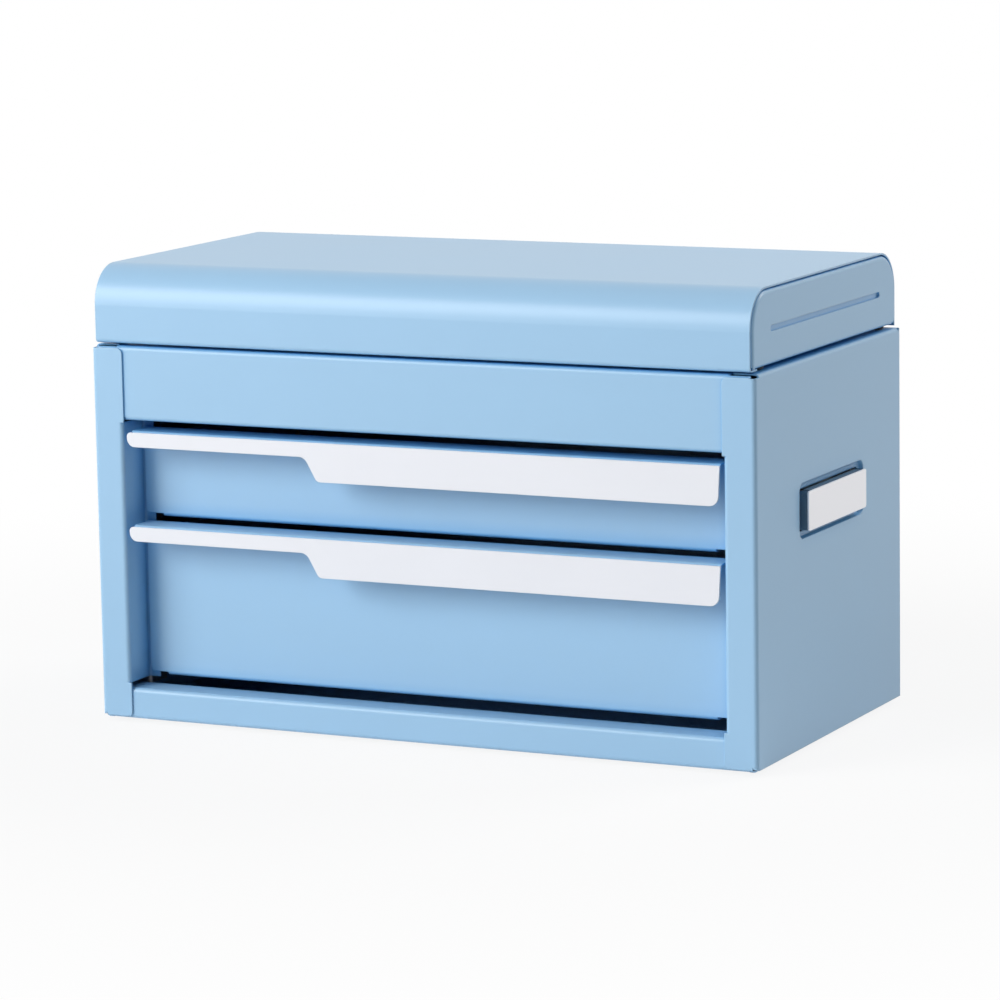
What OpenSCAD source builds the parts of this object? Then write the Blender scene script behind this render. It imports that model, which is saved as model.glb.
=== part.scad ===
// Portable tool box: a hinged lid over a top compartment, a shallow and a deep drawer below it,
// and a drop handle let into each side. All sheet metal is drawn as folded strip at its real thickness.

/* [Case] */
// Width over the two side panels
case_w = 330; // [280:1:420]
// Depth from the faces of the front posts to the rear edge
case_d = 175; // [168:1:240]
// Height of the side panels, without feet and lid
case_h = 174.8; // [172:0.1:240]
// Thickness of the sheet steel
sheet = 0.8; // [0.6:0.1:0.9]
// Outside radius of the folds
bend_r = 2; // [1.6:0.1:2.4]
// Width of the face of each front post
post_w = 15.2; // [14:0.1:20]
// Extra width of the flat post face above and below the drawer opening
post_edge = 0.6; // [0.2:0.1:1.5]
// How far the post faces end below the top of the side panels
post_drop = 1.3; // [0.5:0.1:3]
// How far the post faces end above the underside of the case
post_lift = 1; // [0.5:0.1:2]
// Radius of the inner top corner of a post face
post_top_r = 2.8; // [1:0.1:5]
// Radius of the inner bottom corner of a post face
post_foot_r = 2; // [1:0.1:4]
// Width of the open relief at the top front corners
relief = 2.6; // [2.4:0.1:4]
// Length of that relief along the side
relief_d = 4.6; // [3:0.1:8]
// Depth of that relief below the top
relief_h = 1.6; // [1.5:0.1:3]
// Radius of the top rear corner of a side panel
rear_corner_r = 3; // [2.5:0.1:6]
// Width of the flanges round the rim and the rear edge
rim_w = 12; // [9:0.5:16]
// Gap between two folded edges that meet at a corner
corner_gap = 0.5; // [0.3:0.1:1]

/* [Front] */
// Height of the fascia above the drawers
fascia_h = 34.4; // [28:0.1:50]
// How far the fascia ends below the top of the side panels
fascia_drop = 0.3; // [0:0.1:1]
// Depth of the fascia's folded edges
fascia_edge = 12; // [8:0.5:20]
// Height of the sill under the drawers
sill_h = 14.5; // [10:0.1:20]
// Depth of the sill's top
sill_d = 16.2; // [10:0.1:20]
// Length of the lip behind the sill and of the pan's rear edge
pan_edge = 10; // [6:0.5:11]
// Width of the stop lip behind a post
stop_w = 5.6; // [5.3:0.1:8]
// Gap from a drawer front's back to the stop lip
stop_gap = 0.2; // [0.1:0.05:0.5]
// Clear height between the sill and the fold of a post
return_lift = 2.5; // [1:0.1:5]
// Clear height between the fold of a post and the fascia
return_drop = 1.1; // [0.5:0.1:3]

/* [Lid] */
// Height of the lid
lid_h = 35.3; // [30:0.1:60]
// Gap under the lid
lid_gap = 0.9; // [0.7:0.1:1.5]
// Radius of the lid's front and rear top edges
lid_r = 18; // [8:0.5:24]
// How far the lid's ends stand in from the side panels
lid_inset = 1.6; // [1:0.1:3]
// How far the lid's back stands in from the rear edge
lid_rear_inset = 1.6; // [1.6:0.1:4]
// Width of the lid's folded lower edge
lid_edge = 8; // [6:0.5:12]
// How far a lid end stands outside the edge of the lid's top sheet
end_out = 0.8; // [0.4:0.1:1.2]
// Gap above the folded front edge, below a lid end
end_gap = 0.1; // [0.05:0.05:0.5]
// Radius of the lower rear corner of a lid end
end_corner_r = 3; // [2.2:0.1:6]
// Open seam between the lid's top sheet and its ends
lid_seam = 0.5; // [0.3:0.05:0.8]
// How far that seam reaches in beyond the bend of a lid end
seam_reach = 1; // [0.6:0.1:2]
// Reach of a lid end's flange under the top sheet
lid_lap = 10; // [6:0.5:14]
// Length of the bead pressed into a lid end
bead_l = 130.6; // [80:0.1:140]
// Height of that bead
bead_h = 2.6; // [2:0.1:5]
// Depth of that bead
bead_depth = 1; // [0.5:0.1:1.5]
// Height of the bead's middle above the lid's lower edge
bead_z = 16.7; // [8:0.1:25]
// Radius of the lid pads
pad_r = 3; // [2:0.1:4]
// Air between the lid pads and the rim
pad_gap = 0.1; // [0.05:0.05:0.3]
// How far the open lid leans back beyond upright
open_tilt = 10; // [5:1:20]

/* [Hinge] */
// Length of the lid hinge
hinge_l = 280; // [150:1:300]
// Number of knuckles
knuckle_n = 15; // [7:2:21]
// Outside radius of a knuckle
knuckle_r = 2.2; // [2:0.1:2.6]
// Radius of the hinge pin
hinge_pin_r = 1.4; // [1:0.1:1.6]
// Gap round moving hinge parts
hinge_gap = 0.3; // [0.2:0.05:0.5]
// Radial play of a pin in its bore
pin_play = 0.05; // [0.02:0.01:0.08]
// Width of a hinge leaf
leaf_w = 15.5; // [10:0.5:15.5]
// Number of rivets along each leaf
leaf_rivets = 8; // [4:1:12]
// Radius of a rivet's shank
rivet_r = 1.2; // [0.8:0.1:1.4]
// Thickness of a rivet's head
rivet_t = 0.6; // [0.4:0.1:0.7]
// Radius of a leaf rivet's heads
leaf_head_r = 2; // [1.6:0.1:2.4]

/* [Drawers] */
// How far the drawer fronts stand behind the posts
front_setback = 16.5; // [10:0.1:17]
// Height of the upper drawer's front
upper_h = 42; // [34:0.1:60]
// Gap under the fascia
fascia_gap = 4.7; // [3:0.1:8]
// Gap between the drawers
drawer_gap = 2; // [1.5:0.1:5]
// Gap above the sill
sill_gap = 3.9; // [2:0.1:8]
// Gap at each side of a drawer front
side_gap = 1.8; // [1:0.1:2.1]
// How much higher a front's lower edge is at its ends
step_h = 1.5; // [0.5:0.1:1.6]
// Width of that step
step_w = 9; // [5:0.5:20]
// How far the left end of the top flange stands in
flange_inset = 2.3; // [0:0.1:5]
// Outside radius of the flange's front fold
nose_r = 1.5; // [1.2:0.1:2]
// Width of the folded hem at each side of a front
hem_w = 4.6; // [3:0.1:6]
// Depth of the fold under a front
foot_fold = 10; // [5:0.5:15]
// Gap from a front's lower edge up to the drawer's floor
tray_lift = 2; // [1:0.1:4]
// Gap from the top flange down to the drawer's rim
tray_drop = 4.4; // [2:0.1:10]
// Width of the safe edge along a drawer's rim
tray_hem = 4; // [3:0.5:8]
// Room behind a closed drawer
tray_back_gap = 5; // [3:0.5:20]
// Gap between a drawer's side and the stop lips
tray_side_gap = 1.6; // [1.3:0.1:3]
// How far a drawer opens
travel = 100; // [60:1:110]

/* [Pulls] */
// Thickness of a pull plate
pull_t = 1; // [0.8:0.1:1.5]
// How far the pull's top is below the flange
pull_drop = 0.8; // [0:0.1:2]
// Height of the thin part of a pull
pull_thin = 6.7; // [5:0.1:10]
// Height of the deep part of a pull
pull_deep = 17.8; // [12:0.1:25]
// Where the slope begins, from the case's left side
slope_start = 109.6; // [60:0.1:200]
// Length of the slope
slope_l = 6.2; // [5:0.1:30]
// Radius of the blend at the top of the slope
slope_top_r = 5; // [1:0.5:6]
// Radius of the blend at the foot of the slope
slope_foot_r = 3; // [1:0.5:5]
// How far a pull's left end stands in from the drawer front's edge
pull_inset = 0.3; // [0:0.1:1]
// How far a pull's right edge leans in at its foot
pull_taper = 0.9; // [0:0.1:2]
// Radius of the top left corner
pull_tip_r = 1.8; // [0.5:0.1:2.5]
// Radius of the bottom left corner
pull_end_r = 4; // [1:0.1:4]
// Radius of the bottom right corner
pull_corner_r = 4.4; // [1:0.1:8]
// Height of the folded lip behind a pull
lip_h = 4; // [2:0.1:4.5]

/* [Slides] */
// Distance from a drawer's side to the uprights
slide_w = 10; // [9.8:0.1:10.6]
// Half the height of an inner rail
inner_half = 4.5; // [4:0.1:6]
// Radius of the balls
ball_r = 1.4; // [1.2:0.1:1.5]
// Play round the balls and the cage
ball_play = 0.2; // [0.15:0.05:0.3]
// Thickness of the ball cage
cage_t = 0.6; // [0.4:0.1:0.8]
// Distance between balls
ball_pitch = 7; // [5:0.5:10]
// Where the outer rails begin, behind the post faces
rail_y = 20; // [19.5:0.1:24]
// How far the inner rails stand in from the edges of a drawer front
rail_tuck = 0.3; // [0.2:0.1:0.5]
// Clearance of an inner rail in the opening of the stop lip
window_play = 1.1; // [0.3:0.1:1.2]
// Play of a ball cage at each end of its travel
cage_play = 0.6; // [0.4:0.1:1]
// Room behind the outer rails
rail_back = 10; // [6:0.5:30]
// How far an inner rail ends in front of its outer rail's end
slide_short = 1.7; // [1:0.1:4]
// Length of the rubber buffer at the back of a rail
buffer_l = 3; // [2:0.5:5]
// Gap between an inner rail and its buffer
buffer_gap = 0.3; // [0.2:0.1:0.5]
// Height of the upper rail's middle above the upper front's lower edge
upper_rail_rise = 18.6; // [14:0.1:22]
// Height of the lower rail's middle above the lower front's lower edge
lower_rail_rise = 26.6; // [14:0.1:30]
// Width of the uprights that carry the rails
upright_w = 16; // [10:0.5:20]
// Distance from the rails' ends to the uprights
upright_inset = 4; // [2:0.5:10]
// How far the uprights end below the fascia's lower edge
upright_drop = 2; // [1:0.5:8]
// Radius of the head of a rail's rivet
rail_head_r = 2.4; // [1.6:0.1:2.6]

/* [Handles] */
// Length of a handle
handle_w = 69.5; // [50:0.5:90]
// Height of a handle
handle_h = 17.7; // [16:0.1:25]
// How far the handle's face stands out of the side panel
handle_out = 3; // [2.6:0.1:5]
// Thickness of the handle's face plate
plate_t = 0.8; // [0.6:0.1:1]
// Thickness of the grip's web behind the face plate
web_t = 0.4; // [0.3:0.05:0.5]
// Thickness of the handle's walls
grip_wall = 1.2; // [0.8:0.1:1.2]
// Corner radius of the handle
handle_r = 1.3; // [0.5:0.1:3]
// Shadow groove behind the face plate
groove = 0.3; // [0.2:0.05:0.5]
// Distance from the top of the case to the handle's middle
handle_drop = 67.2; // [50:0.1:90]
// How far the handle sits behind the middle of the side
handle_shift = 0.6; // [-10:0.1:10]
// Border of the recess round the handle
recess_rim = 3.7; // [2.5:0.1:6]
// Depth of the recess
recess_depth = 1.8; // [1.5:0.1:2]
// Corner radius of the recess
recess_r = 4; // [2:0.1:5]
// Slope of the recess's walls
recess_draft = 0.8; // [0.2:0.1:1.5]
// Gap between the handle and its hole
handle_gap = 0.6; // [0.5:0.1:1]
// Gap from the recess's floor out to the handle's rear edge
grip_gap = 0.4; // [0.3:0.1:0.6]
// How much wider the pocket behind the hole is on each side
pocket_room = 0.5; // [0.3:0.1:1]
// Radius of a handle pin
handle_pin_r = 0.8; // [0.6:0.1:0.8]
// Height from the handle's top down to its pins
pivot_drop = 2; // [1.8:0.1:2]
// How far the pins are outside the side panel
pivot_out = 0.4; // [0.3:0.05:0.5]
// How far a pin's head stands out round the pin
pin_head = 0.4; // [0.3:0.05:0.6]
// Thickness of a pin's head
pin_head_t = 0.5; // [0.3:0.1:0.8]
// Thickness of a bracket's ears
ear_t = 1.2; // [0.8:0.1:2]
// Metal round the pin in an ear
ear_rim = 0.5; // [0.4:0.1:0.8]
// Gap beside an ear
ear_gap = 0.35; // [0.2:0.05:0.6]
// Gap between a bracket and the rail behind it
bracket_gap = 0.6; // [0.3:0.1:2]

/* [Feet and mats] */
// Height of the rubber feet
foot_h = 2; // [1.5:0.5:10]
// Radius of the rubber feet
foot_r = 6; // [4:0.5:10]
// Distance from the case's edges to a foot's middle
foot_inset = 22; // [15:1:40]
// Chamfer round a foot's lower edge
foot_chamfer = 0.5; // [0.3:0.1:1]
// Radius of a foot's stem
stem_r = 2; // [1.5:0.1:3]
// How far the barb stands out round a stem
barb = 1; // [0.5:0.1:1.5]
// Thickness of the mats
mat_t = 1.5; // [1:0.5:4]
// Gap round the mats
mat_gap = 2; // [1:0.5:5]

/* [Hidden] */

// Fineness of round things, and steps of an outline's corner arc
$fn = 48;
arc_steps = 8;
// Overshoot of a cutting shape, and thickness of the slices a sloped form is drawn between
cut = 1;
slice = 0.1;

// Colours as photographed, and those of the parts that don't show
paint = [0.62, 0.78, 0.92];
white = [0.93, 0.94, 0.97];
slate = [0.27, 0.38, 0.46];
plated = [0.72, 0.73, 0.75];
black = [0.09, 0.09, 0.1];
mat_grey = [0.2, 0.22, 0.25];

// Case: x from the middle, y from the faces of the posts, z from the underside of the base
half_w = case_w / 2;
inner_half_w = half_w - sheet;
fold_x = half_w - post_w;
post_top = case_h - post_drop;
fascia_top = case_h - fascia_drop;
fascia_z = fascia_top - fascia_h;
return_z = sill_h + return_lift;
return_top = fascia_z - return_drop;
face_half_w = half_w - relief;
panel_half_w = half_w - bend_r;
pan_top = bend_r + pan_edge;

// Lid and hinge
lid_z = case_h + lid_gap;
lid_top_z = lid_z + lid_h;
lid_back = case_d - lid_rear_inset;
lid_half_w = half_w - lid_inset;
sheet_half_w = lid_half_w - end_out;
end_z = lid_z + sheet + end_gap;
flange_depth = sheet + lid_seam;
face_inset = flange_depth + bend_r;
bend_x = lid_half_w - bend_r;
joggle_x = bend_x - seam_reach;
hinge_y = lid_back;
hinge_z = case_h + (pin_play + lid_rear_inset * sin(open_tilt)) / cos(open_tilt);
hinge_room = knuckle_r + hinge_gap;
knuckle_l = hinge_l / knuckle_n;
body_rivet_z = hinge_z - knuckle_r - leaf_w / 2;
lid_rivet_z = hinge_z + knuckle_r + leaf_w / 2;
overall_d = hinge_y + knuckle_r;
back_y = case_d - sheet;

// Drawers
stop_y = front_setback + 2 * sheet + stop_gap;
stop_x = fold_x - stop_w;
front_half_w = fold_x - side_gap;
tray_half_w = stop_x - tray_side_gap;
upper_top = fascia_z - fascia_gap;
upper_z = upper_top - upper_h;
lower_top = upper_z - drawer_gap;
lower_z = sill_h + sill_gap;
lower_h = lower_top - lower_z;
tray_y = front_setback + sheet;
tray_back = case_d - tray_back_gap;
upper_rail_z = upper_z + upper_rail_rise;
lower_rail_z = lower_z + lower_rail_rise;

// Slides: every x is a distance from the middle of the case
outer_x = tray_half_w + slide_w;
slide_x = front_half_w - rail_tuck;
ball_x = slide_x - sheet - ball_r;
catch_x = ball_x - ball_r - sheet;
cage_x = slide_x + sheet;
ball_z = inner_half + ball_play + ball_r;
outer_half = ball_z + ball_r + ball_play + sheet;
inner_catch = ball_z - cage_t / 2 - ball_play;
outer_catch = ball_z + cage_t / 2 + ball_play;
rail_end = case_d - rail_back;
rail_l = rail_end - rail_y;
slide_y = stop_y;
slide_end = rail_end - slide_short;
cage_y = rail_y + travel / 2 + cage_play;
cage_l = slide_end - travel - rail_y - 2 * cage_play;
balls_in_row = floor((cage_l - 4 * ball_r) / ball_pitch) + 1;
window_half = inner_catch + window_play;
buffer_y = slide_end + buffer_gap;
uprights_y = [rail_y + upright_inset, rail_end - upright_inset - upright_w];
upright_top = fascia_z - upright_drop;

// Handle on the right side; the left one is its mirror image
handle_y = case_d / 2 + handle_shift;
handle_z = case_h - handle_drop;
pivot_x = half_w + pivot_out;
pivot_z = handle_z + handle_h / 2 - pivot_drop;
recess_w = handle_w + 2 * recess_rim;
recess_h = handle_h + 2 * recess_rim;
recess_x = half_w - recess_depth;
grip_x = recess_x + grip_gap;
plate_x = half_w + handle_out - plate_t;
web_x = plate_x - web_t;
hole_w = handle_w + 2 * handle_gap;
hole_h = handle_h + 2 * handle_gap;
pocket_w = hole_w + 2 * pocket_room;
pocket_h = hole_h + 2 * pocket_room;
ear_r = handle_pin_r + ear_rim;
ear_y = handle_w / 2 - grip_wall - ear_gap - ear_t;

// The points of an outline whose corners are [x, y, radius]
function unit(v) = v / norm(v);
function flat(p) = [p[0], p[1]];
function corner_arc(a, b, c) =
    b[2] == 0 ? [flat(b)] :
    let (
        u = unit(flat(a) - flat(b)),
        v = unit(flat(c) - flat(b)),
        half = acos(u * v) / 2,
        middle = flat(b) + unit(u + v) * b[2] / sin(half),
        from = flat(b) + u * b[2] / tan(half) - middle,
        start = atan2(from[1], from[0]),
        sweep = -sign(u[0] * v[1] - u[1] * v[0]) * (180 - 2 * half)
    )
    [for (k = [0:arc_steps])
        middle + b[2] * [cos(start + sweep * k / arc_steps), sin(start + sweep * k / arc_steps)]];
function rounded(corners) =
    let (n = len(corners))
    [for (i = [0:n - 1]) each corner_arc(corners[(i + n - 1) % n], corners[i], corners[(i + 1) % n])];

// A rectangle about the origin with one corner radius
module pad_2d(w, h, r) {
    polygon(rounded([[-w / 2, -h / 2, r], [w / 2, -h / 2, r], [w / 2, h / 2, r], [-w / 2, h / 2, r]]));
}

// Folded sheet seen end on. A leg is [straight length, turn after it, outside radius of the turn]
module strip_2d(legs, i = 0) {
    run = legs[i][0];
    turn = legs[i][1];
    r = legs[i][2];
    square([run, sheet]);
    if (turn > 0) {
        translate([run, r]) quarter_ring_2d(r, -1);
        translate([run + r, r]) rotate(90) strip_2d(legs, i + 1);
    }
    if (turn < 0) {
        translate([run, sheet - r]) quarter_ring_2d(r, 1);
        translate([run + r - sheet, sheet - r]) rotate(-90) strip_2d(legs, i + 1);
    }
}

module quarter_ring_2d(r, side) {
    intersection() {
        difference() {
            circle(r);
            circle(r - sheet);
        }
        translate([0, side > 0 ? 0 : -r]) square(r);
    }
}

// What rounding a corner at the origin takes away, for a body that fills +x and +y
module scrap_2d(r) {
    difference() {
        translate([-cut, -cut]) square(r + cut);
        translate([r, r]) circle(r);
    }
}

// Takes the middle of the case's front edge to its place over the feet
module placed() {
    translate([0, -overall_d / 2, foot_h]) children();
}

module on_left() {
    mirror([1, 0, 0]) children();
}

// Extrudes an (x, z) outline backwards from y
module toward_back(y, depth) {
    translate([0, y + depth, 0]) rotate([90, 0, 0]) linear_extrude(depth) children();
}

// Extrudes a (y, z) outline to the right from x
module toward_right(x, width) {
    translate([x, 0, 0]) rotate([90, 0, 90]) linear_extrude(width) children();
}

module block(from, to) {
    translate(from) cube(to - from);
}

// A pin along x, y or z
module rod_x(r, from, to) {
    translate([from, 0, 0]) rotate([0, 90, 0]) cylinder(r = r, h = to - from);
}

module rod_y(r, from, to) {
    translate([0, to, 0]) rotate([90, 0, 0]) cylinder(r = r, h = to - from);
}

// ---- Case ----

module post_fold(z_from, z_to, legs, x, y) {
    translate([0, 0, z_from]) linear_extrude(z_to - z_from) translate([x, y]) strip_2d(legs);
}

module front_post() {
    join = [sheet, 0, 0];
    fold_run = post_w - 2 * bend_r;
    legs = [
        [stop_w - bend_r + sheet, -90, bend_r],
        [stop_y + sheet - 2 * bend_r, 90, bend_r],
        [fold_run, 90, bend_r],
        join,
    ];
    flat_legs = [[post_w + post_edge - bend_r, 90, bend_r], join];
    difference() {
        union() {
            post_fold(return_z, return_top, legs, stop_x, stop_y);
            post_fold(post_lift, return_z, flat_legs, fold_x - post_edge, 0);
            post_fold(return_top, post_top, flat_legs, fold_x - post_edge, 0);
        }
        toward_back(-cut, sheet + 2 * cut) {
            translate([fold_x - post_edge, post_lift]) scrap_2d(post_foot_r);
            translate([fold_x - post_edge, post_top]) mirror([0, 1]) scrap_2d(post_top_r);
        }
        for (z = [upper_rail_z, lower_rail_z]) {
            block([stop_x - cut, stop_y - stop_gap / 2, z - window_half],
                  [slide_x + window_play, stop_y + sheet + cut, z + window_half]);
        }
    }
}

module side_wall() {
    toward_right(inner_half_w, sheet) {
        translate([bend_r, post_lift]) square([case_d - 2 * bend_r, case_h - bend_r - post_lift]);
        translate([bend_r, post_lift]) square([relief_d - bend_r, case_h - relief_h - post_lift]);
    }
}

module rim_flange() {
    toward_back(relief_d, case_d - relief_d - bend_r) {
        translate([half_w, case_h - bend_r - sheet]) {
            rotate(90) strip_2d([[sheet, 90, bend_r], [rim_w - bend_r, 0, 0]]);
        }
    }
}

module rear_flange() {
    translate([half_w, case_d - bend_r - sheet, post_lift]) {
        linear_extrude(case_h - post_lift) {
            rotate(90) strip_2d([[sheet, 90, bend_r], [rim_w - bend_r, 0, 0]]);
        }
    }
}

module at_handle() {
    translate([0, handle_y, handle_z]) children();
}

// The pressed recess: its pocket, or with a wall thickness its outside
module recess_form(wall, from, to) {
    mouth = 2 * wall;
    bottom = 2 * (wall - recess_draft);
    at_handle() hull() {
        toward_right(from, slice) {
            pad_2d(recess_w + bottom, recess_h + bottom, recess_r - recess_draft + wall);
        }
        toward_right(to, slice) {
            pad_2d(recess_w + mouth, recess_h + mouth, recess_r + wall);
        }
    }
}

module side_panel() {
    placed() difference() {
        union() {
            side_wall();
            front_post();
            rim_flange();
            rear_flange();
            recess_form(sheet, recess_x - sheet, inner_half_w);
        }
        recess_form(0, recess_x, half_w);
        at_handle() toward_right(recess_x - sheet - cut, recess_depth + 2 * cut) {
            pad_2d(hole_w, hole_h, handle_r + handle_gap);
        }
        block([face_half_w, -cut, case_h - relief_h], [half_w + cut, relief_d, case_h + cut]);
        toward_right(face_half_w, relief + cut) translate([0, post_lift]) scrap_2d(post_foot_r);
        toward_right(half_w - rim_w - cut, rim_w + 2 * cut) {
            translate([case_d, case_h]) rotate(180) scrap_2d(rear_corner_r);
        }
    }
}

module side_panel_left() {
    color(paint) on_left() side_panel();
}

module side_panel_right() {
    color(paint) side_panel();
}

module along_hinge(count) {
    pitch = hinge_l / count;
    for (i = [0:count - 1]) {
        translate([-hinge_l / 2 + pitch * (i + 0.5), 0, 0]) children();
    }
}

module back_panel() {
    color(paint) placed() difference() {
        toward_back(back_y - sheet, sheet) {
            translate([-panel_half_w, post_lift]) {
                square([2 * panel_half_w, case_h - rear_corner_r - post_lift]);
            }
        }
        block([-hinge_l / 2 - cut, back_y - sheet - cut, hinge_z - hinge_room],
              [hinge_l / 2 + cut, back_y + cut, case_h + cut]);
        along_hinge(leaf_rivets) translate([0, 0, body_rivet_z]) {
            rod_y(rivet_r, back_y - sheet - cut, back_y + cut);
        }
    }
}

module base_pan() {
    pan_back = back_y - sheet;
    floor_legs = [
        [pan_edge, -90, bend_r],
        [pan_back - sheet - 2 * bend_r, -90, bend_r],
        [sill_h - 2 * bend_r, -90, bend_r],
        [sill_d - 2 * bend_r, -90, bend_r],
        [pan_edge / 2, 0, 0],
    ];
    color(paint) placed() difference() {
        union() {
            toward_right(-face_half_w + bend_r, 2 * (face_half_w - bend_r)) {
                translate([pan_back - sheet, bend_r + pan_edge]) rotate(-90) strip_2d(floor_legs);
            }
            for (side = [0, 1]) mirror([side, 0, 0]) {
                toward_back(bend_r, pan_back - sheet - bend_r) {
                    translate([inner_half_w - 2 * bend_r, 0]) strip_2d([[bend_r, 90, bend_r], [pan_edge, 0, 0]]);
                }
            }
        }
        at_feet() cylinder(r = stem_r, h = 3 * sheet, center = true);
    }
}

module front_fascia() {
    flange_half_w = half_w - rim_w - corner_gap;
    color(paint) placed() {
        difference() {
            toward_right(-face_half_w, 2 * face_half_w) {
                translate([sheet + fascia_edge, fascia_z + sheet]) rotate(180) {
                    strip_2d([
                        [fascia_edge - bend_r, -90, bend_r],
                        [fascia_h - 2 * bend_r, -90, bend_r],
                        [fascia_edge - bend_r, 0, 0],
                    ]);
                }
            }
            for (side = [0, 1]) mirror([side, 0, 0]) {
                block([flange_half_w, 2 * sheet, fascia_top - bend_r],
                      [half_w, sheet + fascia_edge + cut, fascia_top + cut]);
            }
        }
    }
}

module tray_floor() {
    wall_run = fascia_edge - bend_r;
    color(paint) placed() toward_back(sheet + bend_r, case_d - sheet - 2 * bend_r) {
        translate([-inner_half_w, fascia_z + sheet + fascia_edge]) rotate(-90) {
            strip_2d([
                [wall_run, 90, bend_r],
                [2 * (inner_half_w - bend_r), 90, bend_r],
                [wall_run, 0, 0],
            ]);
        }
    }
}

module top_mat() {
    color(mat_grey) placed() {
        block([-inner_half_w + bend_r + mat_gap, relief + mat_gap, fascia_z + 2 * sheet],
              [inner_half_w - bend_r - mat_gap, back_y - sheet - mat_gap, fascia_z + 2 * sheet + mat_t]);
    }
}

module uprights() {
    side_run = inner_half_w - outer_x - bend_r;
    color(plated) placed() {
        for (y = uprights_y) {
            translate([inner_half_w, y, pan_top]) linear_extrude(upright_top - pan_top) mirror([1, 0]) {
                strip_2d([[side_run, 90, bend_r], [upright_w - 2 * bend_r, 90, bend_r], [side_run, 0, 0]]);
            }
        }
    }
}

module uprights_left() {
    on_left() uprights();
}

module uprights_right() {
    uprights();
}

// ---- Slides: the right one of each pair; an on_left() makes the other ----

// Half of a rail's section, above the rail's middle
module outer_section_2d() {
    translate([outer_x - sheet, 0]) square([sheet, outer_half]);
    translate([catch_x, outer_half - sheet]) square([outer_x - catch_x, sheet]);
    translate([catch_x, outer_catch]) square([sheet, outer_half - outer_catch]);
}

module inner_section_2d() {
    translate([tray_half_w, 0]) square([sheet, inner_half]);
    translate([tray_half_w, inner_half - sheet]) square([slide_x - tray_half_w, sheet]);
    translate([slide_x - sheet, inner_half - sheet]) square([sheet, inner_catch - inner_half + sheet]);
}

module cage_section_2d() {
    translate([cage_x, 0]) square([cage_t, ball_z + cage_t / 2]);
    translate([catch_x + cage_t, ball_z - cage_t / 2]) square([cage_x - catch_x, cage_t]);
}

module both_ways() {
    children();
    mirror([0, 1]) children();
}

module outer_rail(rail_z) {
    color(plated) placed() translate([0, 0, rail_z]) difference() {
        toward_back(rail_y, rail_l) both_ways() outer_section_2d();
        for (y = uprights_y) {
            translate([0, y + upright_w / 2, 0]) rod_x(rivet_r, outer_x - sheet - cut, outer_x + cut);
        }
    }
}

module inner_rail(rail_z) {
    color(plated) placed() translate([0, 0, rail_z]) difference() {
        toward_back(slide_y, slide_end - slide_y) both_ways() inner_section_2d();
        at_slide_rivets() rod_x(rivet_r, tray_half_w - cut, tray_half_w + sheet + cut);
    }
}

module at_slide_rivets() {
    for (y = uprights_y) {
        translate([0, y + upright_w / 2, 0]) children();
    }
}

module at_balls() {
    start = cage_y + (cage_l - (balls_in_row - 1) * ball_pitch) / 2;
    for (i = [0:balls_in_row - 1], side = [-1, 1]) {
        translate([ball_x, start + i * ball_pitch, side * ball_z]) children();
    }
}

module cage(rail_z) {
    color(plated) placed() translate([0, 0, rail_z]) difference() {
        toward_back(cage_y, cage_l) both_ways() cage_section_2d();
        at_balls() cylinder(r = ball_r + ball_play / 2, h = 3 * cage_t, center = true);
    }
}

module balls(rail_z) {
    color(plated) placed() translate([0, 0, rail_z]) at_balls() sphere(ball_r);
}

module upper_rail_left() {
    on_left() outer_rail(upper_rail_z);
}

module upper_rail_right() {
    outer_rail(upper_rail_z);
}

module lower_rail_left() {
    on_left() outer_rail(lower_rail_z);
}

module lower_rail_right() {
    outer_rail(lower_rail_z);
}

module upper_slide_left() {
    on_left() inner_rail(upper_rail_z);
}

module upper_slide_right() {
    inner_rail(upper_rail_z);
}

module lower_slide_left() {
    on_left() inner_rail(lower_rail_z);
}

module lower_slide_right() {
    inner_rail(lower_rail_z);
}

module upper_cage_left() {
    on_left() cage(upper_rail_z);
}

module upper_cage_right() {
    cage(upper_rail_z);
}

module lower_cage_left() {
    on_left() cage(lower_rail_z);
}

module lower_cage_right() {
    cage(lower_rail_z);
}

module upper_balls_left() {
    on_left() balls(upper_rail_z);
}

module upper_balls_right() {
    balls(upper_rail_z);
}

module lower_balls_left() {
    on_left() balls(lower_rail_z);
}

module lower_balls_right() {
    balls(lower_rail_z);
}

module each_side() {
    children();
    on_left() children();
}

module rail_buffers() {
    color(black) placed() each_side() {
        for (rail_z = [upper_rail_z, lower_rail_z]) {
            block([catch_x + sheet + ball_play, buffer_y, rail_z - inner_half],
                  [outer_x - sheet, buffer_y + buffer_l, rail_z + inner_half]);
        }
    }
}

module rail_rivets() {
    color(plated) placed() each_side() {
        for (y = uprights_y, rail_z = [upper_rail_z, lower_rail_z]) {
            translate([0, y + upright_w / 2, rail_z]) {
                rod_x(rivet_r, outer_x - sheet, outer_x);
                rod_x(rail_head_r, outer_x - sheet - rivet_t, outer_x - sheet);
            }
        }
    }
}

module slide_rivets(rail_z) {
    color(plated) placed() each_side() {
        translate([0, 0, rail_z]) at_slide_rivets() {
            rod_x(rivet_r, tray_half_w - sheet, tray_half_w + sheet);
            rod_x(rail_head_r, tray_half_w - sheet - rivet_t, tray_half_w - sheet);
            rod_x(rail_head_r, tray_half_w + sheet, tray_half_w + sheet + rivet_t);
        }
    }
}

module upper_slide_rivets() {
    slide_rivets(upper_rail_z);
}

module lower_slide_rivets() {
    slide_rivets(lower_rail_z);
}

// ---- Drawers ----

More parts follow.
